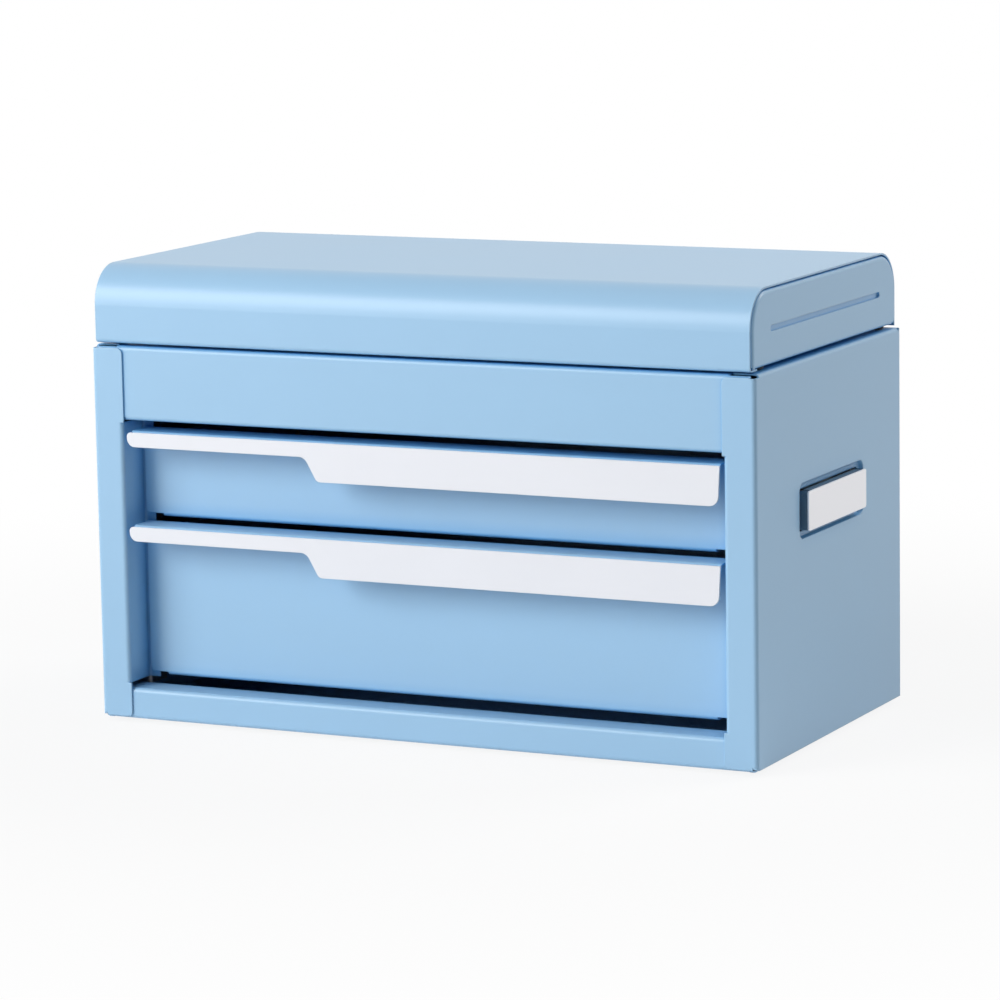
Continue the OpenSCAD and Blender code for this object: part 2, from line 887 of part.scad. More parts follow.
module drawer_front(bottom, height) {
    middle = front_half_w - step_w;
    fold = [foot_fold - bend_r, -90, bend_r];
    wall = [height - 2 * bend_r, 90, bend_r];
    flange = [front_setback + sheet - pull_t - bend_r - nose_r, 90, nose_r];
    lip = [lip_h - nose_r, 0, 0];
    color(paint) placed() translate([0, 0, bottom]) {
        difference() {
            toward_right(-front_half_w, 2 * front_half_w) {
                translate([front_setback + foot_fold, sheet]) rotate(180) strip_2d([fold, wall, flange, lip]);
            }
            each_side() {
                block([middle, front_setback - cut, -cut],
                      [front_half_w + cut, front_setback + sheet + cut, step_h]);
                block([middle, front_setback + sheet, -cut],
                      [front_half_w + cut, front_setback + foot_fold + cut, bend_r + cut / 4]);
                toward_back(front_setback - cut, sheet + 2 * cut) {
                    translate([front_half_w, step_h]) mirror([1, 0]) scrap_2d(bend_r);
                }
            }
            block([-front_half_w - cut, -cut, height - lip_h - cut],
                  [-front_half_w + flange_inset, front_setback - bend_r + sheet, height + cut]);
        }
        each_side() {
            block([front_half_w - hem_w, tray_y, step_h + bend_r],
                  [front_half_w, tray_y + sheet, height - bend_r - sheet]);
        }
    }
}

module pull(top) {
    left = -front_half_w + pull_inset;
    right = front_half_w;
    slope = -half_w + slope_start;
    color(white) placed() toward_back(0, pull_t) {
        translate([0, top - pull_drop]) polygon(rounded([
            [left, 0, pull_tip_r],
            [left, -pull_thin, pull_end_r],
            [slope, -pull_thin, slope_top_r],
            [slope + slope_l, -pull_deep, slope_foot_r],
            [right - pull_taper, -pull_deep, pull_corner_r],
            [right, 0, 0],
        ]));
    }
}

module drawer_tray(bottom, height, rail_z) {
    hem = tray_hem - bend_r;
    side_run = height - 2 * bend_r;
    color(paint) placed() difference() {
        union() {
            toward_back(tray_y, tray_back - tray_y) {
                translate([-tray_half_w + tray_hem, bottom + height]) rotate(180) strip_2d([
                    [hem, 90, bend_r],
                    [side_run, 90, bend_r],
                    [2 * (tray_half_w - bend_r), 90, bend_r],
                    [side_run, 90, bend_r],
                    [hem, 0, 0],
                ]);
            }
            for (y = [tray_y, tray_back - sheet]) {
                toward_back(y, sheet) {
                    translate([-tray_half_w + sheet / 2, bottom + bend_r]) {
                        square([2 * tray_half_w - sheet, height - 2 * bend_r]);
                    }
                    translate([-tray_half_w + bend_r, bottom + sheet / 2]) {
                        square([2 * (tray_half_w - bend_r), bend_r]);
                    }
                }
            }
        }
        translate([0, 0, rail_z]) each_side() at_slide_rivets() {
            rod_x(rivet_r, tray_half_w - sheet - cut, tray_half_w + cut);
        }
    }
}

module drawer_mat(bottom) {
    color(mat_grey) placed() {
        block([-tray_half_w + bend_r + mat_gap, tray_y + sheet + mat_gap, bottom + sheet],
              [tray_half_w - bend_r - mat_gap, tray_back - sheet - mat_gap, bottom + sheet + mat_t]);
    }
}

module upper_front() {
    drawer_front(upper_z, upper_h);
}

module lower_front() {
    drawer_front(lower_z, lower_h);
}

module upper_pull() {
    pull(upper_top);
}

module lower_pull() {
    pull(lower_top);
}

module upper_tray() {
    drawer_tray(upper_z + tray_lift, upper_h - tray_lift - tray_drop, upper_rail_z);
}

module lower_tray() {
    drawer_tray(lower_z + tray_lift, lower_h - tray_lift - tray_drop, lower_rail_z);
}

module upper_mat() {
    drawer_mat(upper_z + tray_lift);
}

module lower_mat() {
    drawer_mat(lower_z + tray_lift);
}

// ---- Lid ----

module lid_top() {
    color(paint) placed() difference() {
        toward_right(-sheet_half_w, 2 * sheet_half_w) {
            translate([lid_back, lid_z]) rotate(90) strip_2d([
                [lid_h - lid_r, 90, lid_r],
                [lid_back - 2 * lid_r, 90, lid_r],
                [lid_h - lid_r - bend_r, 90, bend_r],
                [lid_edge - bend_r, 0, 0],
            ]);
        }
        block([-hinge_l / 2 - cut, lid_back - sheet - cut, lid_z - cut],
              [hinge_l / 2 + cut, lid_back + cut, hinge_z + hinge_room]);
        along_hinge(leaf_rivets) translate([0, 0, lid_rivet_z]) {
            rod_y(rivet_r, lid_back - sheet - cut, lid_back + cut);
        }
    }
}

// Runs a section round the lid's front, top and back. In the section, x is the depth below the
// lid's surface and y the distance from the middle of the lid; low is where the run begins
module round_lid(low) {
    upright = lid_h - lid_r - low;
    straight = lid_back - 2 * lid_r;
    rotate([90, 0, 90]) {
        translate([lid_back - lid_r, lid_z + lid_h - lid_r, 0]) lid_turn() children();
        translate([lid_r, lid_z + lid_h - lid_r, 0]) rotate(90) lid_turn() children();
        translate([lid_back, lid_z + low, 0]) lid_run(upright) children();
        translate([0, lid_z + lid_h - lid_r, 0]) rotate(180) lid_run(upright) children();
        translate([lid_back - lid_r, lid_top_z, 0]) rotate(90) lid_run(straight) children();
    }
}

module lid_turn() {
    rotate_extrude(angle = 90) translate([lid_r, 0]) mirror([1, 0]) children();
}

module lid_run(length) {
    translate([0, length, 0]) rotate([90, 0, 0]) linear_extrude(length) mirror([1, 0]) children();
}

// The bend of a lid end, and its flange as far as the step up to the top sheet's underside
module border_section_2d() {
    translate([face_inset, bend_x]) intersection() {
        difference() {
            circle(bend_r);
            circle(bend_r - sheet);
        }
        translate([-bend_r, 0]) square(bend_r);
    }
    translate([flange_depth, joggle_x]) square([sheet, seam_reach]);
    translate([sheet, joggle_x - sheet]) square([flange_depth, sheet]);
}

// The same section where the flat face begins, with a lap onto that face
module lapped_border_2d() {
    border_section_2d();
    translate([face_inset, lid_half_w - sheet]) square(sheet);
}

module under_section_2d() {
    translate([sheet, joggle_x - sheet - lid_lap]) square([sheet, lid_lap + sheet / 2]);
}

// A lid end's flat face, as far as its rounded border
module end_face_2d() {
    front = face_inset;
    back = lid_back - face_inset;
    top = lid_top_z - face_inset;
    bottom = end_z + bend_r;
    arc_z = lid_top_z - lid_r;
    polygon([
        [front, bottom],
        [back, bottom],
        [back, arc_z],
        [lid_back - lid_r, top],
        [lid_r, top],
        [front, arc_z],
    ]);
    for (y = [lid_r, lid_back - lid_r]) {
        translate([y, arc_z]) circle(lid_r - face_inset);
    }
}

module bead_2d(h) {
    translate([lid_back / 2, lid_z + bead_z]) {
        square([bead_l - bead_h, h], center = true);
        for (side = [-1, 1]) {
            translate([side * (bead_l - bead_h) / 2, 0]) circle(h / 2);
        }
    }
}

module lid_end() {
    color(paint) placed() difference() {
        union() {
            toward_right(lid_half_w - sheet, sheet) end_face_2d();
            toward_right(lid_half_w - sheet - bead_depth, bead_depth + sheet / 2) bead_2d(bead_h + 2 * sheet);
            round_lid(end_z - lid_z) border_section_2d();
            round_lid(end_z - lid_z + bend_r) lapped_border_2d();
            round_lid(bend_r) under_section_2d();
            toward_back(face_inset, lid_back - 2 * face_inset) {
                translate([lid_half_w - lid_edge, end_z]) {
                    strip_2d([[lid_edge - bend_r, 90, bend_r], [sheet, 0, 0]]);
                }
            }
        }
        toward_right(lid_half_w - bead_depth, bead_depth + cut) bead_2d(bead_h);
        toward_right(joggle_x, lid_half_w - joggle_x + cut) {
            translate([flange_depth, end_z]) scrap_2d(bend_r);
            translate([lid_back - flange_depth, end_z]) mirror([1, 0]) scrap_2d(end_corner_r);
        }
        block([lid_half_w - lid_edge - cut, -cut, lid_z - cut],
              [lid_half_w + cut, flange_depth + sheet, lid_z + bend_r]);
    }
}

module lid_end_left() {
    on_left() lid_end();
}

module lid_end_right() {
    lid_end();
}

module lid_pads() {
    height = end_z - case_h - pad_gap;
    color(black) placed() each_side() {
        for (y = [lid_edge + 3 * pad_r, lid_back - 4 * pad_r]) {
            translate([lid_half_w - lid_edge / 2 - sheet, y, end_z - height]) cylinder(r = pad_r, h = height);
        }
    }
}

// ---- Hinge ----

module knuckles(first) {
    for (i = [first:2:knuckle_n - 1]) {
        from = -hinge_l / 2 + i * knuckle_l + hinge_gap / 2;
        translate([0, hinge_y, hinge_z]) rod_x(knuckle_r, from, from + knuckle_l - hinge_gap);
    }
}

// Room for the other leaf's knuckles
module knuckle_room(first, z_from, z_to) {
    for (i = [first:2:knuckle_n - 1]) {
        from = -hinge_l / 2 + i * knuckle_l - hinge_gap / 2;
        block([from, hinge_y - 2 * knuckle_r, z_from],
              [from + knuckle_l + hinge_gap, hinge_y + 2 * knuckle_r, z_to]);
    }
}

module hinge_bore() {
    translate([0, hinge_y, hinge_z]) rod_x(hinge_pin_r + pin_play, -hinge_l, hinge_l);
}

module hinge_body_leaf() {
    leaf_bottom = hinge_z - knuckle_r - leaf_w;
    color(plated) placed() difference() {
        union() {
            difference() {
                block([-hinge_l / 2, back_y - 2 * sheet, leaf_bottom], [hinge_l / 2, back_y - sheet, hinge_z]);
                knuckle_room(1, hinge_z - hinge_room, hinge_z + knuckle_r);
            }
            knuckles(0);
        }
        hinge_bore();
        along_hinge(leaf_rivets) translate([0, 0, body_rivet_z]) {
            rod_y(rivet_r, back_y - 2 * sheet - cut, back_y);
        }
    }
}

module hinge_lid_leaf() {
    leaf_top = hinge_z + knuckle_r + leaf_w;
    color(plated) placed() difference() {
        union() {
            difference() {
                block([-hinge_l / 2, lid_back - 2 * sheet, hinge_z], [hinge_l / 2, lid_back - sheet, leaf_top]);
                knuckle_room(0, hinge_z - knuckle_r, hinge_z + hinge_room);
            }
            knuckles(1);
        }
        hinge_bore();
        along_hinge(leaf_rivets) translate([0, 0, lid_rivet_z]) {
            rod_y(rivet_r, lid_back - 2 * sheet - cut, lid_back);
        }
    }
}

module hinge_pin() {
    color(plated) placed() translate([0, hinge_y, hinge_z]) {
        rod_x(hinge_pin_r, -hinge_l / 2 - sheet, hinge_l / 2 + sheet);
    }
}

module leaf_rivet(outside) {
    rod_y(rivet_r, outside - 2 * sheet, outside);
    rod_y(leaf_head_r, outside - 2 * sheet - rivet_t, outside - 2 * sheet);
    rod_y(leaf_head_r, outside, outside + rivet_t);
}

module hinge_body_rivets() {
    color(plated) placed() along_hinge(leaf_rivets) translate([0, 0, body_rivet_z]) leaf_rivet(back_y);
}

module hinge_lid_rivets() {
    color(plated) placed() along_hinge(leaf_rivets) translate([0, 0, lid_rivet_z]) leaf_rivet(lid_back);
}

// ---- Feet ----

module at_feet() {
    for (x = [-half_w + foot_inset, half_w - foot_inset], y = [foot_inset, case_d - foot_inset]) {
        translate([x, y, 0]) children();
    }
}

module rubber_feet() {
    color(black) placed() at_feet() rotate_extrude() {
        polygon([
            [0, -foot_h],
            [foot_r - foot_chamfer, -foot_h],
            [foot_r, foot_chamfer - foot_h],
            [foot_r, 0],
            [stem_r, 0],
            [stem_r, sheet],
            [stem_r + barb, sheet],
            [stem_r, 3 * sheet],
            [0, 3 * sheet],
        ]);
    }
}

// ---- Handles ----

module bracket_ear() {
    base_top = pocket_h / 2 + handle_z - pivot_z;
    translate([0, ear_t, 0]) rotate([90, 0, 0]) linear_extrude(ear_t) difference() {
        union() {
            translate([pivot_x, pivot_z]) circle(ear_r);
            translate([outer_x + bracket_gap + sheet / 2, pivot_z - ear_r]) {
                square([pivot_x - outer_x - bracket_gap - sheet / 2, 2 * ear_r]);
            }
            translate([outer_x + bracket_gap + sheet / 2, pivot_z - 3 * ear_r]) {
                square([recess_x - 2 * sheet - outer_x - bracket_gap - sheet, 3 * ear_r + base_top]);
            }
        }
        translate([pivot_x, pivot_z]) circle(handle_pin_r);
    }
}

// One at each end of the handle
module both_ends() {
    translate([0, handle_y, 0]) children();
    translate([0, handle_y, 0]) mirror([0, 1, 0]) children();
}

module handle_bracket() {
    back = outer_x + bracket_gap;
    flange_x = recess_x - 2 * sheet;
    color(plated) placed() {
        difference() {
            union() {
                at_handle() toward_right(flange_x, sheet) {
                    pad_2d(recess_w - 2 * recess_draft, recess_h - 2 * recess_draft, recess_r - recess_draft);
                }
                at_handle() toward_right(back, flange_x + sheet / 2 - back) {
                    pad_2d(pocket_w + 2 * sheet, pocket_h + 2 * sheet, handle_r + handle_gap + sheet);
                }
            }
            at_handle() toward_right(back + sheet, flange_x - back + cut) {
                pad_2d(pocket_w, pocket_h, handle_r + handle_gap);
            }
        }
        both_ends() translate([0, ear_y, 0]) bracket_ear();
    }
}

module handle_pins() {
    color(plated) placed() both_ends() translate([pivot_x, 0, pivot_z]) {
        rod_y(handle_pin_r, ear_y, handle_w / 2 - groove);
        rod_y(handle_pin_r + pin_head, ear_y - pin_head_t, ear_y);
    }
}

module handle_grip() {
    slot_from = ear_y - pin_head_t - ear_gap;
    color(slate) placed() difference() {
        at_handle() {
            toward_right(grip_x, web_x - grip_x) pad_2d(handle_w, handle_h, handle_r);
            toward_right(grip_x, plate_x - grip_x) {
                pad_2d(handle_w - 2 * groove, handle_h - 2 * groove, handle_r - groove);
            }
        }
        at_handle() toward_right(grip_x - cut, web_x - grip_x + cut) {
            pad_2d(handle_w - 2 * grip_wall, handle_h - 2 * grip_wall, handle_r / 2);
        }
        both_ends() {
            translate([pivot_x, 0, pivot_z]) rod_y(handle_pin_r + pin_play, 0, handle_w);
            block([grip_x - cut, slot_from, pivot_z],
                  [web_x, handle_w / 2 - grip_wall, pivot_z + pivot_drop + cut]);
        }
    }
}

module handle_plate() {
    color(white) placed() at_handle() toward_right(plate_x, plate_t) pad_2d(handle_w, handle_h, handle_r);
}

module handle_bracket_left() {
    on_left() handle_bracket();
}

module handle_bracket_right() {
    handle_bracket();
}

module handle_pins_left() {
    on_left() handle_pins();
}

module handle_pins_right() {
    handle_pins();
}

module handle_grip_left() {
    on_left() handle_grip();
}

module handle_grip_right() {
    handle_grip();
}

module handle_plate_left() {
    on_left() handle_plate();
}

module handle_plate_right() {
    handle_plate();
}

side_panel_left();
side_panel_right();
back_panel();
base_pan();
front_fascia();
tray_floor();
top_mat();
uprights_left();
uprights_right();
upper_rail_left();
upper_rail_right();
lower_rail_left();
lower_rail_right();
rail_buffers();
rail_rivets();
hinge_body_leaf();
hinge_pin();
hinge_body_rivets();
rubber_feet();
handle_bracket_left();
handle_bracket_right();
handle_pins_left();
handle_pins_right();
lid_top();
lid_end_left();
lid_end_right();
hinge_lid_leaf();
hinge_lid_rivets();
lid_pads();
upper_front();
upper_pull();
upper_tray();
upper_mat();
upper_slide_left();
upper_slide_right();
upper_slide_rivets();
lower_front();
lower_pull();
lower_tray();
lower_mat();
lower_slide_left();
lower_slide_right();
lower_slide_rivets();
upper_cage_left();
upper_cage_right();
lower_cage_left();
lower_cage_right();
upper_balls_left();
upper_balls_right();
lower_balls_left();
lower_balls_right();
handle_grip_left();
handle_grip_right();
handle_plate_left();
handle_plate_right();
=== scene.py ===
"""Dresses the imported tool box: its powder coat, plated steel, rubber and mats, and the studio round it."""

from __future__ import annotations

import logging
import math
from dataclasses import dataclass
from enum import Enum
from typing import Any, Iterable, Iterator, Sequence, Union

import bmesh
import bpy
from mathutils import Matrix, Vector

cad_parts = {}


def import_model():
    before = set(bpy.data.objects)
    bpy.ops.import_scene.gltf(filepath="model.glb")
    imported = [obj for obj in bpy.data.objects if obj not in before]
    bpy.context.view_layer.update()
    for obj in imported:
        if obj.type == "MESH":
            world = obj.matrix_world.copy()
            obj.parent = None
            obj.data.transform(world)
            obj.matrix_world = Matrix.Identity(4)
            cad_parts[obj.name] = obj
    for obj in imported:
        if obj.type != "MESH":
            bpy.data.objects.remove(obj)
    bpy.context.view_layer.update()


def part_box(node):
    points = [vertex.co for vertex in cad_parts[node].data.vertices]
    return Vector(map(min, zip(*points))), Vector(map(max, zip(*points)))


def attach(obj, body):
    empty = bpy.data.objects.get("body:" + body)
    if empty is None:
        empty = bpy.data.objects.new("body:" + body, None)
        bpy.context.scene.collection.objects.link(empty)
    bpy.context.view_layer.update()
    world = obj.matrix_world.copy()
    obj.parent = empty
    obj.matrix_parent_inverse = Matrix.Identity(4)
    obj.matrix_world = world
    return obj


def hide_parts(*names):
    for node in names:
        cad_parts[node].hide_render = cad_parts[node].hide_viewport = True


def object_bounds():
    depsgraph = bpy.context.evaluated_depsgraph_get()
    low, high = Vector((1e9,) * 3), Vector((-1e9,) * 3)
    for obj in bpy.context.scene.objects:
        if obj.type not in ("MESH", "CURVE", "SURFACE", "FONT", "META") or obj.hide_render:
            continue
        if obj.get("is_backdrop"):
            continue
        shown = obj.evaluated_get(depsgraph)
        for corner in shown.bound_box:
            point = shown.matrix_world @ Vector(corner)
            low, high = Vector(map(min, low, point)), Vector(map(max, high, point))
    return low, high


LOG = logging.getLogger("tool_box")
MM = 0.001
HALF = 0.5  # The middle of a noise field
COAT_IOR = 1.5
UP = Vector((0.0, 0.0, 1.0))

# Sockets of a Mix node that mixes colours
MIX_SHARE, MIX_FIRST, MIX_SECOND, MIX_RESULT = 0, 6, 7, 2

RAIL_RIVET_Y = (-55.8 * MM, 65.2 * MM)
LEVELS = ("upper", "lower")

Colour = tuple[float, float, float]
Point = tuple[float, float]
Link = bpy.types.NodeSocket
Number = Union[float, "Field"]


def linear(red: int, green: int, blue: int) -> Colour:
    """Turns a colour as seen on a screen into the linear values that a shader takes.

    Args:
        red: Red from 0 to 255.
        green: Green from 0 to 255.
        blue: Blue from 0 to 255.

    Returns:
        The linear colour.
    """
    knee, low_slope, offset, gamma = 0.04045, 12.92, 0.055, 2.4

    def one(level: int) -> float:
        """Turns one channel."""
        share = level / 255
        return share / low_slope if share <= knee else ((share + offset) / (1 + offset)) ** gamma

    return one(red), one(green), one(blue)


# ---------------------------------------------------------------- shader maths


class Field:
    """A number that varies over a surface: a socket that takes part in Python arithmetic."""

    def __init__(self, graph: "Graph", socket: Link) -> None:
        """Keeps the socket and the graph that new nodes go into."""
        self.graph = graph
        self.socket = socket

    def _with(self, operation: str, first: Number, second: Number) -> "Field":
        """Adds one Math node on two numbers."""
        return self.graph.node(
            "ShaderNodeMath", {"operation": operation}, {0: first, 1: second}
        ).field("Value")

    def __add__(self, other: Number) -> "Field":
        """Adds."""
        return self._with("ADD", self, other)

    def __radd__(self, other: Number) -> "Field":
        """Adds, with the plain number first."""
        return self._with("ADD", other, self)

    def __sub__(self, other: Number) -> "Field":
        """Subtracts."""
        return self._with("SUBTRACT", self, other)

    def __rsub__(self, other: Number) -> "Field":
        """Subtracts from a plain number."""
        return self._with("SUBTRACT", other, self)

    def __mul__(self, other: Number) -> "Field":
        """Multiplies."""
        return self._with("MULTIPLY", self, other)

    def __rmul__(self, other: Number) -> "Field":
        """Multiplies, with the plain number first."""
        return self._with("MULTIPLY", other, self)

    def power(self, exponent: float) -> "Field":
        """Raises to a power."""
        return self._with("POWER", self, exponent)

    def over(self, level: float) -> "Field":
        """Is 1 where the number is above a level, and 0 elsewhere."""
        return self._with("GREATER_THAN", self, level)


class Made:
    """A node that a graph has added."""

    def __init__(self, graph: "Graph", node: bpy.types.Node) -> None:
        """Keeps the node and its graph."""
        self.graph = graph
        self.node = node

    def out(self, name: str) -> Link:
        """Gives an output socket by name."""
        return self.node.outputs[name]

    def field(self, name: str) -> Field:
        """Gives a number output as a field."""
        return Field(self.graph, self.out(name))


class Graph:
    """The node tree of one material or of the world."""

    def __init__(self, tree: bpy.types.NodeTree) -> None:
        """Empties the tree and takes it over."""
        tree.nodes.clear()
        self.tree = tree

    def node(
        self,
        kind: str,
        settings: dict[str, Any] | None = None,
        inputs: dict[Union[str, int], Any] | None = None,
    ) -> Made:
        """Adds a node.

        Args:
            kind: The node's type name.
            settings: Attributes of the node; a ramp's stops go under "stops" as (place, colour) pairs.
            inputs: Values or links for its sockets, by name or number.

        Returns:
            The new node.
        """
        node = self.tree.nodes.new(kind)
        for name, value in (settings or {}).items():
            if name == "stops":
                self._set_stops(node.color_ramp, value)
            else:
                setattr(node, name, value)
        for name, value in (inputs or {}).items():
            socket = node.inputs[name]
            if isinstance(value, Field):
                self.tree.links.new(value.socket, socket)
            elif isinstance(value, bpy.types.NodeSocket):
                self.tree.links.new(value, socket)
            else:
                socket.default_value = value
        return Made(self, node)

    @staticmethod
    def _set_stops(ramp: bpy.types.ColorRamp, stops: Sequence[tuple[float, Colour]]) -> None:
        """Sets a ramp's stops."""
        while len(ramp.elements) > 1:
            ramp.elements.remove(ramp.elements[-1])
        for index, (place, colour) in enumerate(stops):
            stop = ramp.elements[0] if index == 0 else ramp.elements.new(place)
            stop.position = place
            stop.color = (*colour, 1.0)

    def place(self) -> Link:
        """Gives the point on the object, in metres."""
        return self.node("ShaderNodeTexCoord").out("Object")

    def stretched(self, scale: Sequence[float]) -> Link:
        """Gives the point on the object with each direction scaled."""
        return self.node(
            "ShaderNodeVectorMath", {"operation": "MULTIPLY"}, {0: self.place(), 1: tuple(scale)}
        ).out("Vector")

    def noise(self, grain: float, detail: float = 2.0, scale: Sequence[float] = (1, 1, 1)) -> Field:
        """Gives a cloudy field.

        Args:
            grain: Size of its patches in metres.
            detail: Number of finer octaves.
            scale: Stretch along x, y and z.

        Returns:
            Values round 0.5.
        """
        return self.node(
            "ShaderNodeTexNoise",
            {},
            {"Vector": self.stretched(scale), "Scale": 1 / grain, "Detail": detail, "Roughness": 0.55},
        ).field("Fac")

    def blend(self, share: Number, first: Any, second: Any) -> Link:
        """Mixes two colours.

        Args:
            share: How much of the second there is.
            first: The first colour, or a link.
            second: The second colour, or a link.

        Returns:
            The mixed colour.
        """
        made = self.node("ShaderNodeMix", {"data_type": "RGBA"})
        for index, value in ((MIX_SHARE, share), (MIX_FIRST, first), (MIX_SECOND, second)):
            socket = made.node.inputs[index]
            if isinstance(value, Field):
                self.tree.links.new(value.socket, socket)
            elif isinstance(value, bpy.types.NodeSocket):
                self.tree.links.new(value, socket)
            else:
                socket.default_value = value if index == MIX_SHARE else (*value, 1.0)
        return made.node.outputs[MIX_RESULT]

    def bump(self, height: Field, depth: float, normal: Link | None = None) -> Link:
        """Turns a height field into a normal.

        Args:
            height: The height, from 0 to 1.
            depth: How far a height of 1 stands out, in metres.
            normal: A normal to start from.

        Returns:
            The bent normal.
        """
        inputs: dict[Union[str, int], Any] = {"Height": height, "Distance": depth, "Strength": 1.0}
        if normal is not None:
            inputs["Normal"] = normal
        return self.node("ShaderNodeBump", {}, inputs).out("Normal")

    def openness(self, reach: float) -> Field:
        """Is 1 on open faces and falls toward 0 in folds and gaps of the given reach in metres."""
        return self.node("ShaderNodeAmbientOcclusion", {"samples": 8}, {"Distance": reach}).field("AO")

    def height(self) -> Field:
        """Gives the height over the floor, in metres, of a point on a resting object."""
        return self.node("ShaderNodeSeparateXYZ", {}, {"Vector": self.place()}).field("Z")

    def rise(self, value: Field, start: float, end: float, low: float = 0.0, high: float = 1.0) -> Field:
        """Gives a smooth step.

        Args:
            value: What it depends on.
            start: The value where it begins.
            end: The value where it ends.
            low: Its level before it begins.
            high: Its level after it ends.

        Returns:
            The step.
        """
        return self.node(
            "ShaderNodeMapRange",
            {"interpolation_type": "SMOOTHSTEP"},
            {"Value": value, "From Min": start, "From Max": end, "To Min": low, "To Max": high},
        ).field("Result")

    def softened(self, radius: float) -> Link:
        """Gives a normal that rounds sharp edges by a radius in metres."""
        return self.node("ShaderNodeBevel", {"samples": 6}, {"Radius": radius}).out("Normal")

    def surface(self, **inputs: Any) -> None:
        """Ends the graph in a Principled shader, with underscores in names for spaces."""
        named = {name.replace("_", " "): value for name, value in inputs.items()}
        shader = self.node("ShaderNodeBsdfPrincipled", {}, named)
        self.node("ShaderNodeOutputMaterial", {}, {"Surface": shader.out("BSDF")})


# ---------------------------------------------------------------- finishes


@dataclass(frozen=True)
class Finish:
    """A finish that makes one material, and is named after what it covers."""

    name: str

    def paint(self, graph: Graph) -> None:
        """Fills the graph."""
        raise NotImplementedError

    def material(self) -> bpy.types.Material:
        """Gives the material, made once."""
        found = bpy.data.materials.get(self.name)
        if found is None:
            found = bpy.data.materials.new(self.name)
            found.use_nodes = True
            self.paint(Graph(found.node_tree))
        return found


@dataclass(frozen=True)
class PowderCoat(Finish):
    """Satin powder coat: an even colour with painted shade (a deeper, more saturated tint) in folds and gaps,
    a fine orange-peel skin and soft edges.
    """

    colour: Colour = (0.5, 0.5, 0.5)
    # Tint of the painted shade that stands in for shade and blue interreflection in folds and gaps
    painted_shade_tint: Colour = (1.0, 1.0, 1.0)
    rough: float = 0.34
    metal: float = 0.0
    peel: float = 0.9 * MM
    peel_depth: float = 0.0035 * MM
    edge: float = 0.4 * MM
    # Reach and falloff of the painted shade in folds and gaps
    painted_shade_reach: float = 10 * MM
    painted_shade_falloff: float = 1.6
    # Ambient occlusion also finds the floor, which would darken what is near it: the painted shade in folds
    # starts at the first of these heights and is full at the second
    shade_floor_clear: float = 6 * MM
    shade_floor_free: float = 24 * MM
    cloud: float = 110 * MM
    speck: float = 0.45 * MM
    paler: float = 1.025
    deeper: float = 0.97
    unevenness: float = 0.05

    def paint(self, graph: Graph) -> None:
        """Fills the graph."""
        cloud = graph.noise(self.cloud, detail=3)
        speck = graph.noise(self.speck, detail=1)
        peel = graph.noise(self.peel, detail=2)
        deeper = tuple(c * self.deeper for c in self.colour)
        lighter = tuple(min(1.0, c * self.paler) for c in self.colour)
        # Painted shade: where ambient occlusion finds folds and gaps, the base colour turns to a deeper, more
        # saturated tint
        painted_shade_colour = tuple(c * tint for c, tint in zip(self.colour, self.painted_shade_tint))
        above_floor = graph.rise(graph.height(), self.shade_floor_clear, self.shade_floor_free)
        painted_fold_shade = (1.0 - graph.openness(self.painted_shade_reach).power(self.painted_shade_falloff)) * above_floor
        rough = self.rough + (cloud - HALF) * self.unevenness + (speck - HALF) * self.unevenness
        graph.surface(
            Base_Color=graph.blend(painted_fold_shade, graph.blend(cloud, deeper, lighter), painted_shade_colour),
            Metallic=self.metal,
            Roughness=rough,
            Normal=graph.bump(peel, self.peel_depth, graph.softened(self.edge)),
            IOR=COAT_IOR,
        )


@dataclass(frozen=True)
class PlatedSteel(Finish):
    """Zinc-plated steel with the faint streaks of rolled sheet."""

    colour: Colour = (0.6, 0.61, 0.63)
    rough: float = 0.38
    streak: float = 0.6 * MM
    rolled: tuple[float, float, float] = (1.0, 0.04, 1.0)
    streak_depth: float = 0.006 * MM
    streak_rough: float = 0.22
    spangle: float = 7 * MM
    spangle_rough: float = 0.12
    dulled: float = 0.82
    metal: float = 0.85
    edge: float = 0.15 * MM

    def paint(self, graph: Graph) -> None:
        """Fills the graph."""
        streak = graph.noise(self.streak, detail=3, scale=self.rolled)
        spangle = graph.noise(self.spangle, detail=2)
        darker = tuple(c * self.dulled for c in self.colour)
        rough = self.rough + (streak - HALF) * self.streak_rough + (spangle - HALF) * self.spangle_rough
        graph.surface(
            Base_Color=graph.blend(spangle, darker, self.colour),
            Metallic=self.metal,
            Roughness=rough,
            Normal=graph.bump(streak, self.streak_depth, graph.softened(self.edge)),
        )


@dataclass(frozen=True)
class BrightSteel(Finish):
    """Polished steel of pins and balls, with hair-fine turning marks."""

    colour: Colour = (0.72, 0.73, 0.75)
    marks: float = 0.3 * MM
    dulled: float = 0.9
    rough: float = 0.14
    rougher: float = 0.08

    def paint(self, graph: Graph) -> None:
        """Fills the graph."""
        fine = graph.noise(self.marks, detail=2)
        duller = tuple(c * self.dulled for c in self.colour)
        graph.surface(
            Base_Color=graph.blend(fine, duller, self.colour),
            Metallic=1.0,
            Roughness=self.rough + fine * self.rougher,
        )


